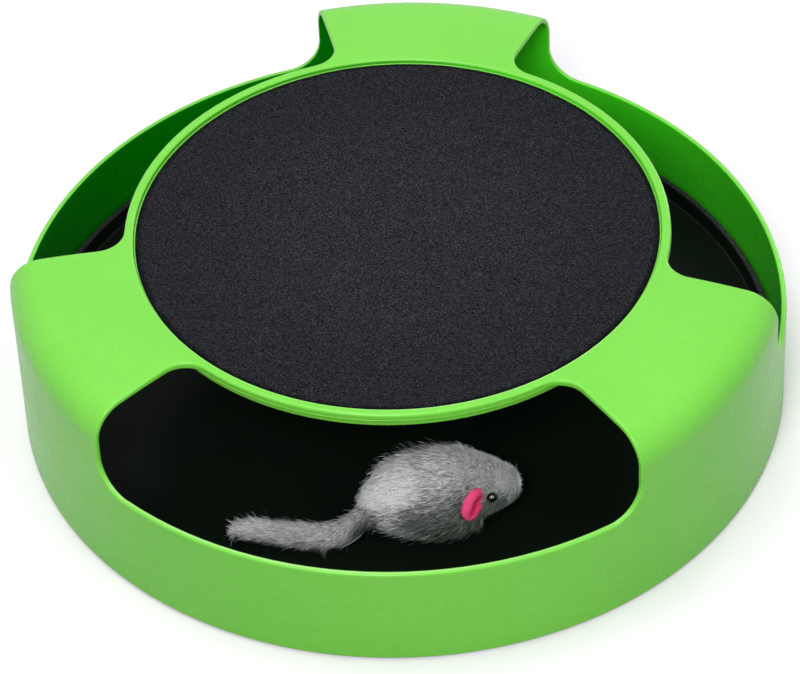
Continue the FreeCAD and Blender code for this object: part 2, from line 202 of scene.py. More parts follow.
def greenPlastic():
    # Two greens in broad patches, painted light and shade by side on the faces that look to the axis,
    # painted highlight lines along edges, and a fine grain over long low waves
    look = greenLook
    graph = newMaterial("greenPlastic")
    place = graph.place()
    broad = graph.noise(place, *look["broadNoise"])
    colour = graph.mix(broad.smooth(*look["broadFrom"]), look["broad"], look["base"])
    normal = graph.node("ShaderNodeTexCoord", out="Normal")
    outward = graph.node("ShaderNodeVectorMath", {"operation": "DOT_PRODUCT"},
                         {0: graph.levelled(place), 1: normal}, out="Value")
    sideways = graph.part(place, "X")
    # painted light and shade on the faces that look to the axis: darkest on the left, brightest a little
    # right of the middle
    paintedInnerLightAndShade = graph.node("ShaderNodeValToRGB", {"stops": look["inner"]},
                      {"Fac": sideways * (1 / look["across"]) + 0.5})
    colour = graph.mix((0 - outward).smooth(*look["inward"]), colour, paintedInnerLightAndShade)
    ahead = 0 - graph.part(place, "Y")
    height = graph.part(place, "Z")
    radius = graph.radius(place)
    sill = edgeHighlightLook["sill"]
    rim = edgeHighlightLook["rim"]
    sillShare = 1 - sill["loss"] * sideways.smooth(*sill["right"])
    rimShare = rim["left"] + rim["gain"] * sideways.smooth(*rim["right"])
    runs = (
        (sill, ahead.smooth(*sill["ahead"]) * sillShare * (1 - height.smooth(*sill["top"]))),
        (rim, ahead.smooth(*rim["ahead"]) * rimShare),
    )
    # each run paints a pale green highlight line along an edge, first the sill's and then the rim's
    for edge, run in runs:
        line = graph.band(radius, edge["radius"], edge["half"])
        above = height.smooth(edge["low"] - edgeHighlightLook["blur"], edge["low"] + edgeHighlightLook["blur"])
        colour = graph.mix(line * above * run * edgeHighlightLook["share"], colour, edgeHighlightLook["colour"])
    waves = graph.bump(graph.noise(place, *look["wave"]), *look["waveBump"])
    return graph.surface(
        Base_Color=colour, Roughness=graph.uneven(place, look["roughness"], *look["rough"]),
        Normal=graph.bump(graph.noise(place, *look["grain"]), *look["grainBump"], waves),
        IOR=look["index"], Subsurface_Weight=look["milky"], Subsurface_Radius=look["milkyReach"],
        Subsurface_Scale=look["milkyDepth"] * mm)


plainLook = dict(mottle=(0.3, 3), mottleFrom=(0.3, 0.7), darker=0.85, rough=(0.15, 0.8), grain=(3.0, 2),
                 grainBump=(0.01, 0.4))


def plainPlastic(name, colour, roughness):
    # A colour that is mottled down to a darker share of itself, with a fine grain
    look = plainLook
    graph = newMaterial(name)
    place = graph.place()
    mottle = graph.noise(place, *look["mottle"]).smooth(*look["mottleFrom"])
    darker = tuple(look["darker"] * channel for channel in colour)
    return graph.surface(
        Base_Color=graph.mix(mottle, darker, colour),
        Roughness=graph.uneven(place, roughness, *look["rough"]),
        Normal=graph.bump(graph.noise(place, *look["grain"]), *look["grainBump"]))


turntableLook = dict(
    base=(0.005, 0.009, 0.0058), roughness=0.24, rough=(0.12, 0.06), shine=0.035, grain=(1.6, 4, 0.7),
    ridge=(0.06, 0.064, 0.07), ridgeTop=(13.2, 14.0), ridgeFrom=(0.3, 0.7),
    # the foot line is a painted highlight, a thin pale line where the ridge meets the floor
    foot=(0.05, 0.055, 0.055), footRadius=119.3, footHalf=0.35, footTop=(9.2, 9.6), footFrom=(0.35, 0.6),
    footHighlightShare=0.4,
)


def turntablePlastic():
    # Black, grey in grains on top of its ridge, and a painted highlight in a thin line at the ridge's foot
    look = turntableLook
    graph = newMaterial("turntablePlastic")
    place = graph.place()
    height = graph.part(place, "Z")
    grain = graph.noise(place, *look["grain"])
    onRidge = height.smooth(*look["ridgeTop"]) * grain.smooth(*look["ridgeFrom"])
    colour = graph.mix(onRidge, look["base"], look["ridge"])
    # painted highlight: a thin pale line at the foot of the ridge
    line = graph.band(graph.radius(place), look["footRadius"], look["footHalf"])
    footHighlightMask = line * (1 - height.smooth(*look["footTop"])) * grain.smooth(*look["footFrom"])
    colour = graph.mix(footHighlightMask * look["footHighlightShare"], colour, look["foot"])
    return graph.surface(
        Base_Color=colour, Roughness=graph.uneven(place, look["roughness"], *look["rough"]),
        Specular_IOR_Level=look["shine"])


def beadGloss():
    # Near black under a clear coat
    return newMaterial("beadGloss").surface(
        Base_Color=(0.002, 0.002, 0.002), Roughness=0.04, Specular_IOR_Level=1.0, Coat_Weight=1.0)


feltLook = dict(
    dark=(0.003, 0.0035, 0.005), light=(0.1, 0.104, 0.12), roughness=0.95, shine=0.1,
    fibre=(0.65, 0.26, 0.5), grain=(1.0, 2, 0.7), contrast=3.0, bump=(0.5, 1.0),
    outer=(25, 80), outerLoss=0.25,
)


def feltMaterial():
    # From dark to light by the tone of the points and a grain that is drawn out across, less far out
    look = feltLook
    graph = newMaterial("padFelt")
    grain = graph.noise(graph.place(look["fibre"]), *look["grain"])
    shade = (graph.tone() + (grain - 0.5) * look["contrast"]).smooth(0.0, 1.0)
    outside = graph.radius(graph.place()).smooth(*look["outer"])
    colour = graph.mix(shade * (1 - outside * look["outerLoss"]), look["dark"], look["light"])
    return graph.surface(
        Base_Color=colour, Roughness=look["roughness"], Normal=graph.bump(grain, *look["bump"]),
        Specular_IOR_Level=look["shine"])


furLook = dict(dark=(0.03, 0.038, 0.03), light=(0.99, 0.965, 1.0), roughness=0.85,
               nearFloorColour=(0.11, 0.115, 0.045), nearFloorShare=0.75, nearFloorBelow=(9.6, 11.4))


def furMaterial():
    # From dark to light by the tone of the points, and darker and olive towards the bottom, near the
    # turntable
    look = furLook
    graph = newMaterial("mouseFur")
    colour = graph.mix(graph.tone(), look["dark"], look["light"])
    low = 1 - graph.part(graph.place(), "Z").smooth(*look["nearFloorBelow"])
    colour = graph.mix(low * look["nearFloorShare"], colour, look["nearFloorColour"])
    return graph.surface(Base_Color=colour, Roughness=look["roughness"])


# the ears glow a little, brighter than their light: painted light, an emission, though they are no lamp. The
# slit's darker red is painted shade in the crease.
pinkLook = dict(slit=(0.42, 0.0, 0.045), lobe=(1.0, 0.085, 0.285), roughness=0.9, glow=(1.0, 0.03, 0.14),
                paintedGlowStrength=0.14, grain=(3.0, 3, 0.6), contrast=0.9, shadeFrom=(0.05, 1.0), bump=(0.5, 0.9))


def pinkMaterial():
    # From the colour of the slit, painted shade, to that of the lobes, by the tone of the points and a
    # grain, with a painted glow
    look = pinkLook
    graph = newMaterial("pinkFelt")
    grain = graph.noise(graph.place(), *look["grain"])
    shade = (graph.tone() + (grain - 0.5) * look["contrast"]).smooth(*look["shadeFrom"])
    # the emission is painted light: the ears glow though they are no lamp
    return graph.surface(
        Base_Color=graph.mix(shade, look["slit"], look["lobe"]), Roughness=look["roughness"],
        Normal=graph.bump(grain, *look["bump"]), Emission_Color=look["glow"],
        Emission_Strength=look["paintedGlowStrength"])


green = greenPlastic()
white = plainPlastic("whitePlastic", (0.8, 0.8, 0.78), 0.4)
felt = feltMaterial()
fur = furMaterial()
pink = pinkMaterial()
finishes = {
    "green_plastic": green,
    "black_plastic": turntablePlastic(),
    "tray_plastic": plainPlastic("trayPlastic", (0.012, 0.013, 0.013), 0.5),
    "white_plastic": white,
    "adhesive": white,
    "foot_rubber": plainPlastic("footRubber", (0.03, 0.03, 0.03), 0.8),
    "steel": newMaterial("steel").surface(Base_Color=(0.6, 0.6, 0.6), Metallic=1.0, Roughness=0.35),
    "charcoal_felt": felt,
    "grey_fur": fur,
    "pink_felt": pink,
    "black_bead": beadGloss(),
}
edgeLook = dict(merge=1e-6, sharp=30.0)


def dress(name, material):
    # A node of the frame, drawn with its own mesh: merged, smooth but for its sharp edges
    piece = nodes[name]
    piece.data.materials.clear()
    piece.data.materials.append(material)
    piece.data.polygons.foreach_set("use_smooth", np.ones(len(piece.data.polygons), bool))
    weld = piece.modifiers.new("weld", "WELD")
    weld.merge_threshold = edgeLook["merge"]
    split = piece.modifiers.new("edges", "EDGE_SPLIT")
    split.split_angle = math.radians(edgeLook["sharp"])
    piece.modifiers.new("normals", "WEIGHTED_NORMAL")


for row in frame["record"]["subparts"]:
    dress(row["node"], finishes[row["material_slot"]])
print("pieces dressed")


def throughPoints(stops, values, at):
    # Cubic through the values at their stops, with the slope at each stop taken from its neighbours. It
    # runs on for up to a fifth of a step past its ends.
    stops = np.asarray(stops, float)
    values = np.asarray(values, float)
    slopes = np.gradient(values, stops, axis=0)
    at = np.asarray(at, float)
    step = np.clip(np.searchsorted(stops, at, side="right") - 1, 0, len(stops) - 2)
    width = stops[step + 1] - stops[step]
    t = np.clip((at - stops[step]) / width, -0.2, 1.2)
    if values.ndim > 1:
        t = t[..., None]
        width = width[..., None]
    return (
        (2 * t**3 - 3 * t**2 + 1) * values[step] + (t**3 - 2 * t**2 + t) * width * slopes[step]
        + (3 * t**2 - 2 * t**3) * values[step + 1] + (t**3 - t**2) * width * slopes[step + 1]
    )


def unit(vectors):
    # Each vector divided by its length
    return vectors / np.maximum(np.linalg.norm(vectors, axis=-1, keepdims=True), 1e-9)


def ease(values, low, high):
    # 0 up to low, 1 from high, and 3t^2 - 2t^3 between them
    t = np.clip((values - low) / (high - low), 0, 1)
    return t * t * (3 - 2 * t)


def roundTurn(steps):
    # Equal steps of a whole turn, from 0
    return np.linspace(0, 2 * np.pi, steps, False)


def gridFaces(rows, columns):
    # Quads of a grid of points, row by row, with its last column joined to its first
    row, column = np.meshgrid(np.arange(rows - 1), np.arange(columns), indexing="ij")
    beside = (column + 1) % columns
    corners = (row * columns + column, row * columns + beside,
               (row + 1) * columns + beside, (row + 1) * columns + column)
    return np.stack([corner.ravel() for corner in corners], axis=1)


def poleFaces(pole, ring, backwards=False):
    # Triangles from a pole to the ring of points round it
    after = np.roll(ring, -1)
    fan = np.stack([np.full(len(ring), pole), ring, after], axis=1)
    return fan[:, ::-1] if backwards else fan


def addPiece(name, points, faceSets, material, tones=None):
    # A mesh of points in millimetres and arrays of faces, with a tone for each point if it has any
    corners = np.concatenate([faces.ravel() for faces in faceSets]).astype(np.int32)
    sizes = np.concatenate([np.full(len(faces), faces.shape[1]) for faces in faceSets])
    mesh = bpy.data.meshes.new(name)
    mesh.vertices.add(len(points))
    mesh.vertices.foreach_set("co", (points * mm).astype(np.float32).ravel())
    mesh.loops.add(len(corners))
    mesh.loops.foreach_set("vertex_index", corners)
    mesh.polygons.add(len(sizes))
    mesh.polygons.foreach_set("loop_start", np.concatenate([[0], np.cumsum(sizes)[:-1]]).astype(np.int32))
    mesh.polygons.foreach_set("use_smooth", np.ones(len(sizes), bool))
    mesh.update(calc_edges=True)
    if tones is not None:
        mesh.attributes.new("tone", "FLOAT", "POINT").data.foreach_set("value", tones.astype(np.float32))
    mesh.materials.append(material)
    piece = bpy.data.objects.new(name, mesh)
    bpy.context.collection.objects.link(piece)
    return piece


# of the mouse: radius of its track, its angle round the upright axis, height of the turntable's floor,
# height of the middle of its body above that, and its roll. In its own frame x runs to its snout, y to
# its left and z up from the floor.
mousePlace = dict(track=77.0, station=-75.5, floor=8.8, axis=14.5, roll=7.0)


def onTurntable(points):
    # From the mouse's frame: turned by its station and a quarter, then carried out to the track
    turn = math.radians(mousePlace["station"] + 90)
    out = math.radians(mousePlace["station"])
    x = points[..., 0] * math.cos(turn) - points[..., 1] * math.sin(turn)
    y = points[..., 0] * math.sin(turn) + points[..., 1] * math.cos(turn)
    return np.stack([
        x + mousePlace["track"] * math.cos(out), y + mousePlace["track"] * math.sin(out),
        points[..., 2] + mousePlace["floor"],
    ], axis=-1)


# of the body and the head: place along x, radius, height of the middle
bodySections = (
    (-23.8, 0.0, 12.8), (-22.4, 3.0, 13.3), (-20.0, 6.3, 13.8), (-15.5, 9.7, 13.7), (-8.0, 12.2, 13.9),
    (0.5, 13.4, 13.5), (7.5, 12.5, 14.5), (11.2, 10.9, 15.3), (13.6, 9.4, 15.5), (14.6, 6.0, 15.0),
    (14.8, 0.0, 15.0),
)
headSections = (
    (6.4, 0.0, 14.6), (7.4, 11.9, 14.7), (11.0, 10.9, 15.1), (14.0, 9.6, 15.0), (19.4, 7.3, 14.5),
    (23.2, 5.0, 14.5), (24.3, 3.9, 14.5), (24.7, 2.0, 14.5), (24.8, 0.0, 14.5),
)
# of the tail: the points that its middle runs through, and the radius at each
tailLine = (
    (-16.0, 0.6, 13.4), (-20.0, -0.8, 11.4), (-26.4, -2.4, 8.0), (-33.2, -3.7, 5.6), (-41.1, -2.2, 4.7),
    (-48.7, 0.0, 4.8), (-57.0, 2.6, 5.4), (-61.6, 3.9, 5.6), (-64.4, 3.6, 5.2),
)
tailRadii = (0.0, 3.6, 3.0, 3.3, 3.4, 3.2, 2.9, 2.0, 0.0)


def formAlong(line, radii):
    # A round form: the points that its middle runs through, and the radius at each
    return dict(line=np.array(line, float), radii=np.array(radii, float))


def formOfSections(sections):
    # The same, for a form that runs straight ahead
    return formAlong([(x, 0, z) for x, radius, z in sections], [radius for x, radius, z in sections])


# of every skin: where its first and last rings are, and the step over which slopes are taken
skinLook = dict(ends=(0.01, 0.99), step=0.01)


def skinAt(form, along, angle, lift=0.0):
    # A form's skin: its line's point plus its radius, turned round the line by the angle; the normal
    # leans back from that by the slope of the radius
    stops = np.linspace(0, 1, len(form["line"]))
    centre = throughPoints(stops, form["line"], along)
    early = np.maximum(along - skinLook["step"], 0)
    late = np.minimum(along + skinLook["step"], 1)
    run = throughPoints(stops, form["line"], late) - throughPoints(stops, form["line"], early)
    growth = throughPoints(stops, form["radii"], late) - throughPoints(stops, form["radii"], early)
    ahead = unit(run)
    side = unit(np.cross((0, 0, 1), ahead))
    top = np.cross(ahead, side)
    across = side * np.sin(angle)[..., None] + top * np.cos(angle)[..., None]
    radius = np.maximum(throughPoints(stops, form["radii"], along) + lift, 0)
    slope = growth / np.maximum(np.linalg.norm(run, axis=-1), 1e-6)
    return centre + across * radius[..., None], ahead, unit(across - ahead * slope[..., None])


def skinOf(form, lift, rings=40, around=48):
    # Rings along the form, closed by a pole at each end
    along, angle = np.meshgrid(np.linspace(*skinLook["ends"], rings), roundTurn(around), indexing="ij")
    points, ahead, outward = skinAt(form, along, angle, lift)
    points = np.concatenate([points.reshape(-1, 3), form["line"][:1], form["line"][-1:]])
    first = np.arange(around)
    last = first + (rings - 1) * around
    faces = [gridFaces(rings, around)[:, ::-1], poleFaces(rings * around, first),
             poleFaces(rings * around + 1, last, True)]
    return points, faces, np.concatenate([outward.reshape(-1, 3), [(-1, 0, 0), (1, 0, 0)]])


def ribbons(curves, flat, width, taper, tones, along):
    # A flat ribbon along each curve of points: side by side pairs, then one point at its tip
    count, steps = curves.shape[:2]
    half = width[:, None, None] / 2 * np.array(taper)[None, :, None]
    left = curves[:, :-1] - flat[:, None, :] * half
    right = curves[:, :-1] + flat[:, None, :] * half
    points = np.concatenate([left, right, curves[:, -1:]], axis=1).reshape(-1, 3)
    pairs = steps - 1
    start = np.arange(count)[:, None, None] * (2 * pairs + 1)
    low = np.arange(pairs - 1)
    quads = start + np.stack([low, low + pairs, low + pairs + 1, low + 1], axis=1)[None]
    tips = start + np.array([[pairs - 1, 2 * pairs - 1, 2 * pairs]])[None]
    shade = tones[:, None] * np.concatenate([along[:-1], along[:-1], along[-1:]])[None, :]
    return points, [quads.reshape(-1, 4), tips.reshape(-1, 3)], shade.ravel()


def shadingPatchShare(patch, points, outward):
    # 0 to 1: how far the skin there faces a way, times how near it is to a point, which is all of it up
    # to about a third of the patch's reach
    facing = ease(outward @ unit(np.array(patch["faces"], float)), *patch["facing"])
    away = np.abs(points - patch["at"]) @ (1 / np.array(patch["reach"], float))
    return facing * (1 - ease(away, 0.35, 1.0))


# of every blade of fur: what its length, rise and width are drawn from, where its points are along it,
# how it lies back and lifts with t and with t squared, how it narrows, and the tone of the skin below
bladeLook = dict(
    samples=400, leastGirth=0.5, lengths=(0.6, 1.2), longShare=0.06, longer=1.5, riseSpread=0.2,
    rises=(0.08, 1.6), tuftTone=0.05, steps=(0.0, 0.36, 0.72, 1.0), back=(0.62, 0.38), up=(1.6, -0.8),
    stick=0.85, stickFrom=0.4, lowest=0.15, lowSpread=0.3, lean=0.5, widths=(0.7, 1.3),
    taper=(1.0, 0.9, 0.6), tones=(0.02, 1), skinShare=0.3, skinTones=(0.02, 0.65),
)


def bladesOf(form, look, seed):
    # Blades of fur: each leaves the skin at a slant, lies back along the form and ends in a point. Its
    # points are its root, plus its length times a curve that runs back and bends down from its rise as t
    # goes from 0 to 1, plus t squared times a pull to the middle of its tuft.
    blade = bladeLook
    draw = np.random.default_rng(seed)
    count = look["count"]
    table = np.linspace(look["ends"][0], look["ends"][1], blade["samples"])
    places = skinAt(form, table, np.zeros(blade["samples"]))[0]
    girth = throughPoints(np.linspace(0, 1, len(form["radii"])), form["radii"], table)
    step = np.linalg.norm(np.gradient(places, axis=0), axis=1)
    weight = np.cumsum(step * np.maximum(girth, blade["leastGirth"]))
    along = np.interp(draw.random(count), weight / weight[-1], table)
    angle = draw.uniform(-np.pi, np.pi, count)
    root, ahead, outward = skinAt(form, along, angle, look["lift"])
    # roots near the same random one make a tuft
    tufts = draw.integers(0, count, look["tufts"])
    nearest = np.argmin(((root[:, None, :] - root[tufts][None, :, :]) ** 2).sum(axis=2), axis=1)
    combed = (ahead - outward * (ahead * outward).sum(axis=1)[:, None]) * look["comb"]
    sideways = unit(np.cross(outward, combed) + 1e-3)
    swirl = draw.normal(0, look["swirl"], count) + draw.normal(0, look["tuftSwirl"], look["tufts"])[nearest]
    length = look["length"] * draw.uniform(*blade["lengths"], count)
    length *= np.where(draw.random(count) < blade["longShare"], blade["longer"], 1)
    rise = np.clip(look["rise"] + draw.normal(0, blade["riseSpread"], count), *blade["rises"])
    tone = look["tone"] * np.exp(draw.normal(0, look["spread"], count))
    tone += draw.normal(0, blade["tuftTone"], look["tufts"])[nearest]
    # patches of painted light and shade: each scales the tone, and may change length and rise
    for patch in look["patches"]:
        share = shadingPatchShare(patch, root, outward)
        tone *= 1 + (patch["tone"] - 1) * share
        length *= 1 + (patch.get("length", 1) - 1) * share
        rise += patch.get("rise", 0) * share
    lay = combed + sideways * swirl[:, None]
    pull = (root[tufts][nearest] - root) * look["gather"]
    t = np.array(blade["steps"])[None, :, None]
    steep = rise[:, None, None]
    flow = (lay[:, None, :] * (t * blade["back"][0] + t**2 * blade["back"][1])
            + outward[:, None, :] * steep * (t * blade["up"][0] + t**2 * blade["up"][1]))
    curve = root[:, None, :] + flow * length[:, None, None] / np.sqrt(1 + steep**2) + pull[:, None, :] * t**2
    for tip, middle, reach in look.get("spikes", ()):
        # hairs that stick together in a point
        near = 1 - ease(np.linalg.norm(root - middle, axis=1), blade["stickFrom"] * reach, reach)
        curve += (np.array(tip) - curve) * (near[:, None, None] * t * blade["stick"])
    lowest = blade["lowest"] + blade["lowSpread"] * draw.random(count)
    curve[..., 2] = np.maximum(curve[..., 2], lowest[:, None])
    bare = np.zeros(count, bool)
    for point, radius in look.get("bare", ()):
        bare |= np.linalg.norm(curve - np.array(point), axis=2).min(axis=1) < radius
    flat = unit(sideways + outward * draw.normal(0, blade["lean"], count)[:, None])
    width = look["width"] * draw.uniform(*blade["widths"], count)
    keep = ~bare
    tone = np.clip(tone, *blade["tones"])
    shades = np.array(look["shades"])
    return ribbons(curve[keep], flat[keep], width[keep], blade["taper"], tone[keep], shades)


def furPiece(name, form, look, seed, node):
    # The skin, toned by the same patches of painted light and shade as the blades that stand on it
    skin, skinFaces, outward = skinOf(form, look["lift"])
    under = np.full(len(skin), bladeLook["skinShare"] * look["tone"])
    for patch in look["patches"]:
        under *= 1 + (patch["tone"] - 1) * shadingPatchShare(patch, skin, outward)
    blades, bladeFaces, shade = bladesOf(form, look, seed)
    bladeFaces = [faces + len(skin) for faces in bladeFaces]
    points = onTurntable(np.concatenate([skin, blades]))
    tones = np.concatenate([np.clip(under, *bladeLook["skinTones"]), shade])
    piece = addPiece(name, points, skinFaces + bladeFaces, fur, tones)
    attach(piece, "turntable")
    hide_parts(node)
    print(name, "made:", look["count"], "blades")


furShades = (0.25, 0.6, 1.0, 1.2)     # of a blade's tone, from its root to its tip
# no blade comes within a distance of the eye or of points along the ear
eyeSpot = ((15.4, -8.4, 17.6), 1.8)
earSpots = tuple((spot, 2.2) for spot in (
    (7.6, -13.0, 15.8), (8.5, -12.3, 17.7), (9.4, -11.7, 19.6), (10.2, -11.1, 21.4)))
everywhere = (90, 90, 90)

# a patch paints light and shade into the tone of the fur, lighter where light falls and darker where
# shade falls, and may change its length and rise, where the skin faces a way and lies within reach of
# a point. Ends are the stretch of the form that has blades, comb is 1 where they lie on along the form's
# line and -1 where they lie back, and lift is how far the skin stands out from the form, here less than
# nothing, because the blades fill the rest.
# body patches, in order: painted shade underneath, painted light on the rump and on the top of the back,
# painted shade beside the ear, painted light low at the rear, painted shade at the tail's root, and painted
# shade on the far side, where the fur is also longer and stands up more
bodyShadingPatches = (
    dict(faces=(0, -0.6, -1), facing=(-1.15, 0.35), at=(0, 0, 14), reach=everywhere, tone=0.11),
    dict(faces=(0, -1, 0), facing=(-1.0, -0.7), at=(-17, -1, 22), reach=(17, 50, 20), tone=4.8),
    dict(faces=(0, 0, 1), facing=(0.0, 0.5), at=(-12, 8, 26), reach=(14, 14, 12), tone=1.7),
    dict(faces=(0, -1, 0), facing=(-2, -1), at=(9.5, -9, 20), reach=(9, 13, 11), tone=0.6),
    dict(faces=(0, -1, 0), facing=(-2, -1), at=(-14, -10, 6.5), reach=(16, 25, 11), tone=4.2),
    dict(faces=(0, -1, 0), facing=(-2, -1), at=(-21.5, -6, 11), reach=(7, 12, 7), tone=0.1),
    dict(faces=(0, 1, 0.15), facing=(0.8, 0.92), at=(-7, 8, 22), reach=(20, 30, 30), tone=0.13, rise=1.3,
         length=1.45),
)
bodyLook = dict(count=42000, ends=(0.05, 0.74), lift=-1.0, length=3.8, rise=0.8, width=0.21, swirl=0.17,
                tuftSwirl=0.1, tufts=1500, gather=0.15, tone=1.25, spread=0.7, shades=furShades,
                patches=bodyShadingPatches, bare=earSpots, comb=-1)
# head patches: painted shade underneath, painted shade at the neck, where the fur is also longer and lies
# flatter, and painted light on the snout
headShadingPatches = (
    dict(faces=(0, -0.3, -1), facing=(-0.95, 0.4), at=(0, 0, 14), reach=everywhere, tone=0.2),
    dict(faces=(1, 0, 0), facing=(-2, -1), at=(8, 0, 14), reach=(9, 60, 60), tone=0.6, length=1.6,
         rise=-0.35),
    dict(faces=(1, 0, 0), facing=(-2, -1), at=(25.5, -3, 19), reach=(12, 40, 13), tone=4.4),
)
headLook = dict(count=26000, ends=(0.13, 0.985), lift=-0.7, length=1.9, rise=0.95, width=0.18, swirl=0.35,
                tuftSwirl=0.15, tufts=600, gather=0.12, tone=1.3, spread=0.45, shades=(0.45, 0.8, 1.0, 1.1),
                patches=headShadingPatches, bare=(eyeSpot, *earSpots), comb=-1)
# tail patches: painted shade under the tail's root, where the dark hide also shows, painted shade
# underneath, and painted light at the tip, where the fur also lies a little flatter
tailShadingPatches = (
    dict(faces=(0, -1, -0.2), facing=(0.0, 0.4), at=(-22.5, -5, 7.5), reach=(9, 14, 9), tone=0.06),
    dict(faces=(0, -0.3, -1), facing=(0.3, 0.9), at=(0, 0, 0), reach=everywhere, tone=0.5),
    dict(faces=(-1, -1, 0), facing=(-1, 0), at=(-64, 2, 5), reach=(14, 30, 30), tone=1.25, rise=-0.05),
)
tailLook = dict(count=30000, ends=(0.06, 0.99), lift=-0.9, length=3.0, rise=0.6, width=0.18, swirl=0.4,
                tuftSwirl=0.25, tufts=900, gather=0.2, tone=0.53, spread=0.55, shades=furShades,
                patches=tailShadingPatches, spikes=(((-37, -10.4, 0.3), (-37, -5.8, 2.5), 2.6),), comb=1)
furPiece("mouseBodyFur", formOfSections(bodySections), bodyLook, 11, "mouse_body")
furPiece("mouseHeadFur", formOfSections(headSections), headLook, 12, "mouse_head")
furPiece("mouseTailFur", formAlong(tailLine, tailRadii), tailLook, 13, "mouse_tail")

# the cut edge of the fur's hide, which shows below the root of the tail
hideLook = dict(
    line=((-34.0, -7.2, 2.7), (-30.5, -6.7, 3.0), (-26.3, -4.7, 3.8), (-23.4, -2.2, 4.8), (-21.0, 0.4, 6.1)),
    radii=(0.0, 0.18, 0.22, 0.18, 0.0), rings=30, around=8, tone=0.33,
)


def makeHideEdge():
    # A thin round form along its line, all of one tone
    look = hideLook
    form = formAlong(look["line"], look["radii"])
    points, faces, outward = skinOf(form, 0.0, look["rings"], look["around"])
    tones = np.full(len(points), look["tone"])
    return addPiece("hideEdge", onTurntable(points), faces, fur, tones)


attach(makeHideEdge(), "turntable")

# of an ear: its place along the mouse, the angle of its middle from the top and its lean, its size, the
# rise of its lobes from the bottom of the slit and what is left of it at the rim, where the slit opens
# into a mouth, its rings from the middle outwards and then underneath, and its tones: painted shade down
# into the slit, and painted light on the rear lobe
earLook = dict(
    place=8.9, angle=78.0, lean=24.0, height=10.2, width=6.7, bottom=0.25, top=2.0, under=-1.0,
    rim=0.35, dome=0.65, slit=0.72, slitLine=((3.1, 3.2), (2.2, 1.3), (1.0, 0.6), (-2.4, 0.4)),
    mouthAcross=(1.1, 1.9), mouthFrom=(-0.2, 0.8), mouthTo=(2.0, 2.6), mouthDepth=0.95,
    first=0.03, rings=26, underShares=(0.97, 0.5), around=72, frontTone=0.7, rearPaintedLight=0.3,
    rear=(-1.0, 1.5), poleTone=0.2,
)


def awayFrom(p, q, line):
    # Distance of points from a line of straight runs
    line = np.array(line, float)
    best = np.full(p.shape, 1e9)
    for (p0, q0), (p1, q1) in zip(line[:-1], line[1:]):
        run = (p1 - p0) ** 2 + (q1 - q0) ** 2
        t = np.clip(((p - p0) * (p1 - p0) + (q - q0) * (q1 - q0)) / run, 0, 1)
        best = np.minimum(best, np.hypot(p - p0 - t * (p1 - p0), q - q0 - t * (q1 - q0)))
    return best


def earFold(name, side, node):
    # A felt oval curled round the body: its lobes rise as 1 - exp(-d^2) with the distance from the slit
    # and fall off to its wavering rim as the root of 1 - share^4, and two rings close it underneath
    look = earLook
    share = np.concatenate([np.linspace(look["first"], 1, look["rings"]), look["underShares"]])
    v = roundTurn(look["around"])[None, :]
    wobble = 1 + 0.03 * np.sin(3 * v + 1) + 0.02 * np.sin(5 * v)
    p = share[:, None] * look["height"] / 2 * np.cos(v) * wobble
    q = share[:, None] * look["width"] / 2 * np.sin(v) * wobble
    fold = 1 - np.exp(-((awayFrom(p, q, look["slitLine"]) / look["slit"]) ** 2))
    mouth = ease(q, *look["mouthAcross"]) * ease(p, *look["mouthFrom"]) * (1 - ease(p, *look["mouthTo"]))
    dome = np.sqrt(np.clip(1 - share**4, 0, 1))[:, None]
    lobes = look["bottom"] + (look["top"] - look["bottom"]) * fold * (1 - look["mouthDepth"] * mouth)
    height = lobes * (look["rim"] + look["dome"] * dome)
    height[look["rings"]:] = look["under"]
    lean = math.radians(look["lean"])
    forward = p * math.sin(lean) + q * math.cos(lean)
    upward = p * math.cos(lean) - q * math.sin(lean)
    x = look["place"] + forward
    stations = np.array(bodySections[1:-2])
    radius = throughPoints(stations[:, 0], stations[:, 1], x)
    turn = math.radians(look["angle"] + side * mousePlace["roll"]) - upward / radius
    reach = radius + height
    points = np.stack([x, side * reach * np.sin(turn), mousePlace["axis"] + reach * np.cos(turn)], axis=-1)
    points = points.reshape(-1, 3)
    centre = points[:look["around"]].mean(axis=0)
    below = points[-look["around"]:].mean(axis=0)
    count = len(points)
    points = np.concatenate([points, [centre, below]])
    first = np.arange(look["around"])
    last = np.arange(count - look["around"], count)
    faces = [gridFaces(len(share), look["around"]), poleFaces(count, first, True),
             poleFaces(count + 1, last)]
    if side < 0:
        faces = [part[:, ::-1] for part in faces]
    # painted shade: the tone falls down into the slit; painted light: it rises towards the rear lobe
    shade = fold * (look["frontTone"] + look["rearPaintedLight"] * ease(-q, *look["rear"]))
    tones = np.concatenate([shade.ravel(), [look["poleTone"]] * 2])
    piece = addPiece(name, onTurntable(points), faces, pink, tones)
    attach(piece, "turntable")
    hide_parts(node)
    print(name, "made")


earFold("mouseEarFar", 1, "mouse_ear_left")
earFold("mouseEarNear", -1, "mouse_ear_right")

# the edge tone is a painted shadow: the felt darker along its edge, where the rim shades the gap
padLook = dict(radius=83.4, low=64.3, thick=1.8, edge=0.5, rings=60, around=240, edgeShadowTone=-0.4, topTone=0.25)


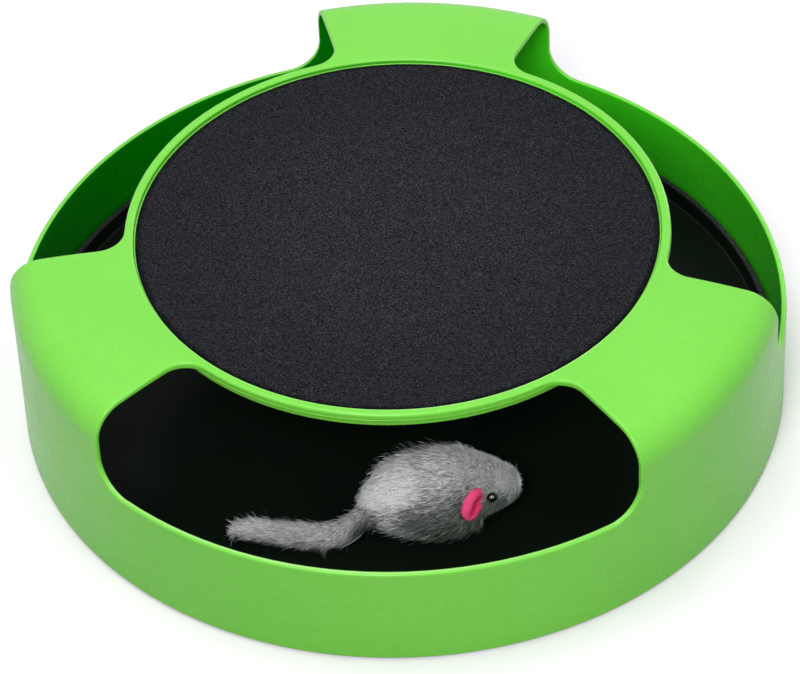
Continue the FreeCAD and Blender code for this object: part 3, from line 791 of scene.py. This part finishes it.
def makePad():
    # A felt disc: rings from the centre of its top, round its edge and back to the centre below, with
    # waves of about a tenth of a millimetre in its radius, as a cut edge has
    look = padLook
    top = np.linspace(0.001, 1, look["rings"])
    edge = np.radians([15, 40, 65, 90, 115, 140, 165])
    half = look["thick"] / 2
    inside = look["radius"] - look["edge"]
    radius = np.concatenate([top * inside, inside + look["edge"] * np.sin(edge), [inside, 0.1]])
    height = np.concatenate([np.full(look["rings"], half), half * np.cos(edge), [-half, -half]])
    v = roundTurn(look["around"])[None, :]
    ragged = 1 + 0.0012 * np.sin(7 * v + 1) * np.cos(23 * v) + 0.0008 * np.sin(61 * v)
    x = radius[:, None] * np.cos(v) * ragged
    y = radius[:, None] * np.sin(v) * ragged
    z = np.broadcast_to(height[:, None] + look["low"] + half, x.shape)
    points = np.stack([x, y, z], axis=-1).reshape(-1, 3)
    count = len(points)
    points = np.concatenate([points, [(0, 0, look["low"] + look["thick"]), (0, 0, look["low"])]])
    first = np.arange(look["around"])
    last = np.arange(count - look["around"], count)
    faces = [gridFaces(len(radius), look["around"])[:, ::-1], poleFaces(count, first),
             poleFaces(count + 1, last, True)]
    # painted shadow along the felt's edge
    inEdgeShadow = np.hypot(points[:, 0], points[:, 1]) > inside - 0.1
    tones = np.where(inEdgeShadow, look["edgeShadowTone"], look["topTone"])
    return addPiece("feltPad", points, faces, felt, tones)


# of the fibres: how far from the pad's edge they start and stop, what their heading, bend, length and
# width are drawn from, and how they rise; then what differs in the fringe
fibreLook = dict(
    count=58000, inset=0.8, stop=0.4, turn=0.55, bend=0.6, length=1.25, lengths=(0.5, 1.4),
    width=0.17, widths=(0.5, 1.2), taper=(0.6, 1.0), sunk=0.08, over=0.1, overs=(0.6, 2.2), lean=0.35,
    tone=(1.5, 0.24), tones=(0.02, 1),
)
fringeLook = dict(count=3000, insets=(0.3, 1.2), turn=0.7, shorter=0.3, past=0.5)


def makeFibres():
    # Fibres of the felt: short arcs, as t and t squared of their length, that lie on it mostly across
    # the view, and a fringe of shorter ones over its edge
    look = fibreLook
    fringe = fringeLook
    draw = np.random.default_rng(21)
    count = look["count"]
    total = count + fringe["count"]
    out = np.sqrt(draw.random(total)) * (padLook["radius"] - look["inset"])
    out[count:] = padLook["radius"] - draw.uniform(*fringe["insets"], fringe["count"])
    where = draw.random(total) * 2 * np.pi
    heading = draw.normal(0, look["turn"], total)
    heading[count:] = where[count:] + draw.normal(0, fringe["turn"], fringe["count"])
    length = look["length"] * draw.uniform(*look["lengths"], total)
    length[count:] *= fringe["shorter"]
    bend = draw.normal(0, look["bend"], total)
    t = np.array([-0.5, 0.0, 0.5])[None, :]
    along = length[:, None] * t
    across = (length * bend)[:, None] * (t**2 * 4 - 0.5) * 0.5
    x = (out * np.cos(where))[:, None] + along * np.cos(heading)[:, None] - across * np.sin(heading)[:, None]
    y = (out * np.sin(where))[:, None] + along * np.sin(heading)[:, None] + across * np.cos(heading)[:, None]
    past = np.where(np.arange(total) < count, 0, draw.uniform(0, fringe["past"], total))
    limit = padLook["radius"] - look["stop"] + past
    scale = np.minimum(1, limit[:, None] / np.hypot(x, y))
    top = padLook["low"] + padLook["thick"]
    z = top - look["sunk"] + look["over"] * draw.uniform(*look["overs"], total)[:, None] * (1 - 3 * t**2)
    curve = np.stack([x * scale, y * scale, z], axis=-1)
    flat = np.stack([-np.sin(heading), np.cos(heading), draw.normal(0, look["lean"], total)], axis=-1)
    tone = np.clip(draw.gamma(*look["tone"], total), *look["tones"])
    width = look["width"] * draw.uniform(*look["widths"], total)
    points, faces, shade = ribbons(curve, unit(flat), width, look["taper"], tone, np.ones(3))
    return addPiece("feltFibres", points, faces, felt, shade)


# beads of the shell's moulding: radius and height of the bead's centre, half its width, half its height
ringLook = dict(
    beads=((83.75, 65.6, 0.28, 0.35), (86.95, 65.05, 0.2, 0.2)), wave=0.05, around=240, section=10,
)


def makeRings():
    # Each bead is an ellipse turned round the axis, with a small wave in its height
    look = ringLook
    turn = roundTurn(look["section"])[None, :]
    v = roundTurn(look["around"])[:, None]
    wave = look["wave"] * np.sin(9 * v) * np.sin(31 * v)
    size = look["around"] * look["section"]
    points = []
    faces = []
    for radius, height, wide, high in look["beads"]:
        out = radius + wide * np.cos(turn)
        up = height + high * np.sin(turn) + wave
        points.append(np.stack([out * np.cos(v), out * np.sin(v), up], axis=-1))
        faces.append(gridFaces(look["around"] + 1, look["section"]) % size + len(faces) * size)
    return addPiece("mouldingBeads", np.concatenate(points).reshape(-1, 3), faces, green)


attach(makeRings(), "root")
pad = makePad()
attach(pad, "root")
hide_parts("scratch_pad")
fibres = makeFibres()
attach(fibres, "root")
print("pad made")


cameraLook = dict(aim=(1.0, -12.4, 30.0), distance=1144.8, azimuth=7.8, elevation=42.94, roll=-2.73,
                  lens=159.65, sensor=36.0, clip=(0.05, 20.0))


def makeCamera():
    # It stands at the azimuth and elevation from its aim, looks at it, and is rolled about its view
    look = cameraLook
    azimuth = math.radians(look["azimuth"])
    elevation = math.radians(look["elevation"])
    back = Vector((
        math.sin(azimuth) * math.cos(elevation), -math.cos(azimuth) * math.cos(elevation),
        math.sin(elevation),
    ))
    data = bpy.data.cameras.new("camera")
    data.lens = look["lens"]
    data.sensor_width = look["sensor"]
    data.clip_start, data.clip_end = look["clip"]
    camera = bpy.data.objects.new("camera", data)
    bpy.context.collection.objects.link(camera)
    turn = back.to_track_quat("Z", "Y").to_matrix().to_4x4()
    roll = Matrix.Rotation(math.radians(look["roll"]), 4, "Z")
    at = Vector(look["aim"]) * mm + back * look["distance"] * mm
    camera.matrix_world = Matrix.Translation(at) @ turn @ roll
    bpy.context.scene.camera = camera


floorLook = dict(reach=6.0, bounce=(0.22, 0.22, 0.22), seen=(0.97, 0.92, 0.99), mirrored=0.7, glow=0.12,
                 roughness=0.9)


def makeFloor():
    # A wide level square that looks near white and throws less light back on the object
    look = floorLook
    reach = look["reach"]
    mesh = bpy.data.meshes.new("floor")
    mesh.from_pydata([(-reach, -reach, 0), (reach, -reach, 0), (reach, reach, 0), (-reach, reach, 0)],
                     [], [(0, 1, 2, 3)])
    floor = bpy.data.objects.new("floor", mesh)
    bpy.context.collection.objects.link(floor)
    graph = newMaterial("floor")
    seen = graph.seen(look["mirrored"])
    mesh.materials.append(graph.surface(
        Base_Color=graph.mix(seen, look["bounce"], look["seen"]), Roughness=look["roughness"],
        Emission_Color=graph.mix(seen, (0, 0, 0), (1, 1, 1)), Emission_Strength=look["glow"]))


worldLook = dict(white=(1, 1, 1, 1), seen=1.0, light=0.41)


def makeWorld():
    # White where the camera or a reflection sees it, and a dimmer white as the light from all round
    look = worldLook
    world = bpy.data.worlds.new("studio")
    bpy.context.scene.world = world
    graph = Graph(world)
    light, seen = [
        graph.node("ShaderNodeBackground", {}, {"Color": look["white"], "Strength": look[use]})
        for use in ("light", "seen")
    ]
    both = graph.node("ShaderNodeMixShader", {}, {0: graph.seen(1.0), 1: light, 2: seen})
    graph.node("ShaderNodeOutputWorld", {}, {"Surface": both})


# of each lamp: its place in metres, how wide it is, and its power in watts
lamps = dict(
    frontLamp=((-0.13, -1.16, 1.27), 0.6, 11.3),
    fillLamp=((0.95, -0.75, 0.95), 0.5, 3.0),
    backLamp=((-0.42, 0.35, 2.3), 1.2, 16.6),
    edgeLamp=((0.7, 1.5, 0.75), 0.3, 3.0),
)


def areaLamp(name, place, size, power):
    # A round lamp that is turned to the origin
    data = bpy.data.lights.new(name, "AREA")
    data.shape = "DISK"
    data.size = size
    data.energy = power
    lamp = bpy.data.objects.new(name, data)
    bpy.context.collection.objects.link(lamp)
    lamp.location = place
    lamp.rotation_euler = (-Vector(place)).to_track_quat("-Z", "Y").to_euler()


makeCamera()
makeFloor()
makeWorld()
for name, (place, size, power) in lamps.items():
    areaLamp(name, place, size, power)
bpy.context.scene.view_settings.view_transform = "Standard"
print("camera, floor and lamps made")
